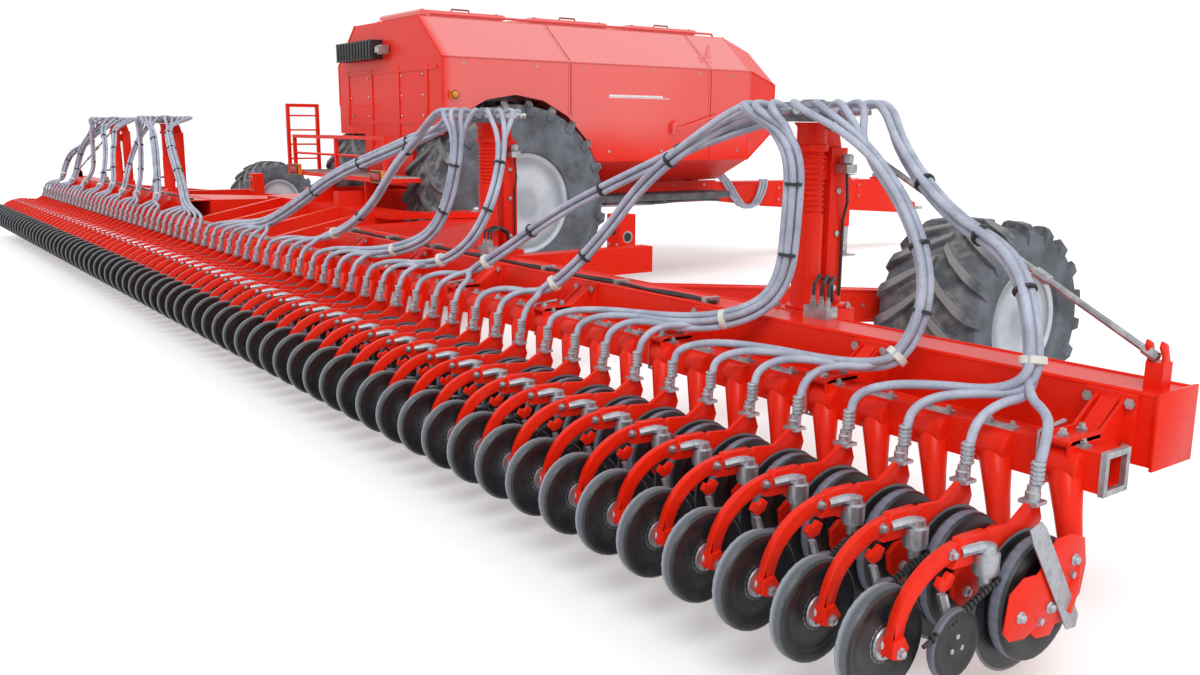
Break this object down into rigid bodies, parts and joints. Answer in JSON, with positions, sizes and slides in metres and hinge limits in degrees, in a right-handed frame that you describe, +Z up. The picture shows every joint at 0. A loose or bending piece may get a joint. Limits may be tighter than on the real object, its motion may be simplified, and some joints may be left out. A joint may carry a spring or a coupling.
{
  "type": "trailed seed drill",
  "caption": "Wide trailed single-disc seed drill with a central hopper, folding wings and rows of disc coulters, shown in its working spread on its wheels and jack",
  "frame": {"origin": "on the floor under the middle of the whole machine", "axes": "+X to the machine's right, +Y forward to the tow eye, +Z up"},
  "size_m": [18, 11.855, 2.9653],
  "materials": {
    "red_paint": "gloss paint",
    "tyre": "worn dark rubber",
    "black_rubber": "matt black rubber",
    "disc_steel": "dark coated steel",
    "rim_grey": "light grey paint",
    "galvanised": "galvanised",
    "steel": "bare steel",
    "lamp": "amber and red lamp lens",
    "hose": "smooth grey plastic hose"
  },
  "bodies": {
    "chassis": {"chassis_frame": "red_paint", "main_axle": "steel", "drawbar": "red_paint", "tow_eye": "steel", "jack_tube": "red_paint", "hopper": "red_paint", "hopper_feet": "red_paint", "metering_units": "galvanised", "row_arms_centre": "red_paint", "rear_platform": "red_paint", "air_intake": "black_rubber", "lamps": "lamp", "air_pipes": "galvanised"},
    "wing_right": {"wing_frame_right": "red_paint", "wing_wheel_arm_right": "red_paint", "towers_right": "red_paint", "distribution_heads_right": "galvanised", "seed_hoses_right": "hose", "crossing_hoses_right": "hose", "row_arms_right": "red_paint"},
    "wing_left": {"wing_frame_left": "red_paint", "wing_wheel_arm_left": "red_paint", "towers_left": "red_paint", "distribution_heads_left": "galvanised", "seed_hoses_left": "hose", "crossing_hoses_left": "hose", "row_arms_left": "red_paint"},
    "main_wheel_right": {"main_tyre_right": "tyre", "main_rim_right": "rim_grey"},
    "wing_wheel_right": {"wing_tyre_right": "tyre", "wing_rim_right": "rim_grey"},
    "main_wheel_left": {"main_tyre_left": "tyre", "main_rim_left": "rim_grey"},
    "wing_wheel_left": {"wing_tyre_left": "tyre", "wing_rim_left": "rim_grey"},
    "seed_disc_row_right": {"seed_discs_right": "disc_steel"},
    "closing_wheel_row_right": {"closing_wheels_right": "black_rubber"},
    "seed_disc_row_centre": {"seed_discs_centre": "disc_steel"},
    "closing_wheel_row_centre": {"closing_wheels_centre": "black_rubber"},
    "seed_disc_row_left": {"seed_discs_left": "disc_steel"},
    "closing_wheel_row_left": {"closing_wheels_left": "black_rubber"},
    "lid_1": {"hopper_lid_1": "red_paint"},
    "lid_2": {"hopper_lid_2": "red_paint"},
    "lid_3": {"hopper_lid_3": "red_paint"},
    "jack_leg": {"jack_leg": "steel"}
  },
  "joints": [
    {"name": "fold_right", "type": "hinge", "parent": "chassis", "child": "wing_right", "pos_m": [1.75, -3.0325, 0.83], "axis": [0, 0, 1], "range_deg": [0, 90], "deforming": ["crossing_hoses_right"]},
    {"name": "fold_left", "type": "hinge", "parent": "chassis", "child": "wing_left", "pos_m": [-1.75, -3.0325, 0.83], "axis": [0, 0, -1], "range_deg": [0, 90], "deforming": ["crossing_hoses_left"]},
    {"name": "main_wheel_spin_right", "type": "hinge", "parent": "chassis", "child": "main_wheel_right", "pos_m": [1.05, -2.2825, 1.03], "axis": [1, 0, 0], "continuous": true},
    {"name": "wing_wheel_spin_right", "type": "hinge", "parent": "wing_right", "child": "wing_wheel_right", "pos_m": [6.6, -2.1125, 0.62], "axis": [1, 0, 0], "continuous": true},
    {"name": "main_wheel_spin_left", "type": "hinge", "parent": "chassis", "child": "main_wheel_left", "pos_m": [-1.05, -2.2825, 1.03], "axis": [1, 0, 0], "continuous": true},
    {"name": "wing_wheel_spin_left", "type": "hinge", "parent": "wing_left", "child": "wing_wheel_left", "pos_m": [-6.6, -2.1125, 0.62], "axis": [1, 0, 0], "continuous": true},
    {"name": "seed_disc_spin_right", "type": "hinge", "parent": "wing_right", "child": "seed_disc_row_right", "pos_m": [5, -5.1925, 0.365], "axis": [1, 0, 0], "continuous": true},
    {"name": "closing_wheel_spin_right", "type": "hinge", "parent": "wing_right", "child": "closing_wheel_row_right", "pos_m": [5, -5.7625, 0.37], "axis": [1, 0, 0], "continuous": true},
    {"name": "seed_disc_spin_centre", "type": "hinge", "parent": "chassis", "child": "seed_disc_row_centre", "pos_m": [0, -5.1925, 0.365], "axis": [1, 0, 0], "continuous": true},
    {"name": "closing_wheel_spin_centre", "type": "hinge", "parent": "chassis", "child": "closing_wheel_row_centre", "pos_m": [0, -5.7625, 0.37], "axis": [1, 0, 0], "continuous": true},
    {"name": "seed_disc_spin_left", "type": "hinge", "parent": "wing_left", "child": "seed_disc_row_left", "pos_m": [-5, -5.1925, 0.365], "axis": [1, 0, 0], "continuous": true},
    {"name": "closing_wheel_spin_left", "type": "hinge", "parent": "wing_left", "child": "closing_wheel_row_left", "pos_m": [-5, -5.7625, 0.37], "axis": [1, 0, 0], "continuous": true},
    {"name": "lid_hinge_1", "type": "hinge", "parent": "chassis", "child": "lid_1", "pos_m": [-0.47, -2.43583, 2.9153], "axis": [0, -1, 0], "range_deg": [0, 100]},
    {"name": "lid_hinge_2", "type": "hinge", "parent": "chassis", "child": "lid_2", "pos_m": [-0.47, -1.0825, 2.9153], "axis": [0, -1, 0], "range_deg": [0, 100]},
    {"name": "lid_hinge_3", "type": "hinge", "parent": "chassis", "child": "lid_3", "pos_m": [-0.47, 0.27083, 2.9153], "axis": [0, -1, 0], "range_deg": [0, 100]},
    {"name": "jack_slide", "type": "slide", "parent": "chassis", "child": "jack_leg", "axis": [0, 0, 1], "range_m": [0, 0.36]}
  ]
}
